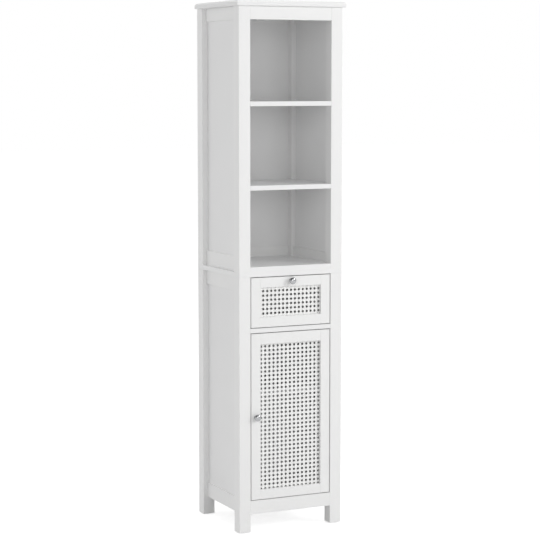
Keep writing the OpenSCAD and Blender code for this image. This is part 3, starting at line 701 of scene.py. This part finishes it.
def trim(sheet, low, high):
    """Cuts a sheet off at the four sides of a box in mm, closes the cuts and turns all faces outwards."""
    only(sheet)
    bpy.ops.object.mode_set(mode="EDIT")
    for corner, out in ((low, (-1, 0, 0)), (low, (0, 0, -1)), (high, (1, 0, 0)), (high, (0, 0, 1))):
        bpy.ops.mesh.select_all(action="SELECT")
        bpy.ops.mesh.bisect(plane_co=corner * MM, plane_no=out, use_fill=True, clear_outer=True)
    bpy.ops.mesh.select_all(action="SELECT")
    bpy.ops.mesh.normals_make_consistent(inside=False)
    bpy.ops.object.mode_set(mode="OBJECT")
    bpy.ops.object.shade_smooth_by_angle(angle=math.radians(60))


# %% Both sheets
def weave(node, pitch_x, pitch_z, dx, dz, shift):
    """The cane of one front, trimmed to its CAD sheet. Eyes are counted from a point dx, dz off its middle.
    shift is 0 with an eye on that point, 0.5 with one at each side of it."""
    low, high = (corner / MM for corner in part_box(node))
    mid = (low + high) / 2
    eyes_x = 2 * math.ceil((high.x - low.x) / 2 / pitch_x) + 3       # odd, with one or more over at each side
    eyes_z = 2 * math.ceil((high.z - low.z) / 2 / pitch_z) + 3
    # the lowest crossing at the left
    first_x = mid.x + dx + (shift - eyes_x / 2) * pitch_x
    first_z = mid.z + dz + (shift - eyes_z / 2) * pitch_z
    grid = (pitch_x, pitch_z, eyes_x, eyes_z, first_x, mid.y, first_z)
    sheet = joined(pairs(*grid) + diagonals(*grid))
    sheet.name = sheet.data.name = node + "_weave"
    trim(sheet, low, high)
    return dress(sheet, node)


# spacings and offsets of the eyes as in the CAD sheets, mm
door_cane = weave("door_cane", pitch_x=14.72, pitch_z=13.63, dx=1.3, dz=-3.75, shift=0)
drawer_cane = weave("drawer_cane", pitch_x=14.1, pitch_z=14.38, dx=-2.3, dz=-0.9, shift=0.5)
for sheet in (door_cane, drawer_cane):
    sheet.data.calc_loop_triangles()
    reach = [[round(c / MM, 2) for c in corner] for corner in (sheet.bound_box[0], sheet.bound_box[6])]
    print(sheet.name, len(sheet.data.loop_triangles), "triangles", reach)

# %% [markdown]
# ## Turned knobs
# A knob is a small flange on the wood, a neck, and a mushroom head with a rounded back and a domed face.
# Spinning an outline would make the same shape, but its pole would need closing and its faces turning. Here
# a disc is drawn out along the axis instead: each step is an extrusion scaled to the next radius, as a
# turner would read the profile, and the piece is closed at every stage.

# %% Turning
def turned(name, start, axis, profile, sides=64):
    """Turns a closed piece. profile holds (distance along the axis, radius) in mm, from end to end."""
    bpy.ops.object.select_all(action="DESELECT")
    at, radius = profile[0]
    bpy.ops.mesh.primitive_circle_add(vertices=sides, radius=radius * MM, fill_type="NGON",
                                      location=(0, 0, at * MM))
    piece = bpy.context.object
    piece.name = piece.data.name = name
    bpy.ops.object.transform_apply(location=True)
    bpy.ops.object.mode_set(mode="EDIT")
    bpy.ops.mesh.select_all(action="SELECT")
    for new_at, new_radius in profile[1:]:
        bpy.ops.mesh.extrude_region_move(TRANSFORM_OT_translate={"value": (0, 0, (new_at - at) * MM)})
        share = new_radius / radius
        bpy.ops.transform.resize(value=(share, share, 1), center_override=(0, 0, new_at * MM))
        at, radius = new_at, new_radius
    bpy.ops.mesh.select_all(action="SELECT")
    bpy.ops.mesh.normals_make_consistent(inside=False)
    bpy.ops.object.mode_set(mode="OBJECT")
    bpy.ops.object.shade_smooth_by_angle(angle=math.radians(35))
    piece.rotation_euler = Vector(axis).to_track_quat("Z", "Y").to_euler()
    piece.location = start
    bpy.ops.object.transform_apply(location=True, rotation=True, scale=True)
    return piece


def arc(at, radius, size, turn_from, turn_to, steps=6):
    """Points of a round arris: its centre is (at, radius) and its angles are in degrees from the axis."""
    angles = [math.radians(turn_from + (turn_to - turn_from) * i / steps) for i in range(steps + 1)]
    return [(at + size * math.cos(a), radius + size * math.sin(a)) for a in angles]


print("a quarter round in four steps:", [[round(c, 2) for c in point] for point in arc(0, 0, 1, 90, 0, 4)])

# %% Both knobs
# radii and distances from the wood, mm
FLANGE_R, FLANGE, FLANGE_ROUND = 6.5, 2.0, 0.6
NECK_R, NECK_FROM, NECK_TO = 4.5, 2.6, 9
FLARE_R, FLARE_AT = 6.2, 11                                  # the neck widens towards the head
HEAD_R, REACH, DOME, BACK_ROUND = 11.2, 20.0, 5.6, 2.4       # DOME is the height of the face over the rim
RIM = REACH - DOME
flange = [(0, FLANGE_R)] + arc(FLANGE - FLANGE_ROUND, FLANGE_R - FLANGE_ROUND, FLANGE_ROUND, 90, 0, 3)
neck = [(NECK_FROM, NECK_R), (NECK_TO, NECK_R), (FLARE_AT, FLARE_R)]
back = arc(RIM, HEAD_R - BACK_ROUND, BACK_ROUND, 180, 90)
face = [(RIM + DOME * math.cos(math.radians(a)), HEAD_R * math.sin(math.radians(a)))
        for a in range(84, 0, -6)]
for node in ("drawer_knob", "door_knob"):
    low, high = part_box(node)
    seat = Vector(((low.x + high.x) / 2, high.y, (low.z + high.z) / 2))
    dress(turned("turned_" + node, seat, (0, -1, 0), flange + neck + back + face), node)
    print(node, "on", [round(c / MM, 1) for c in seat])
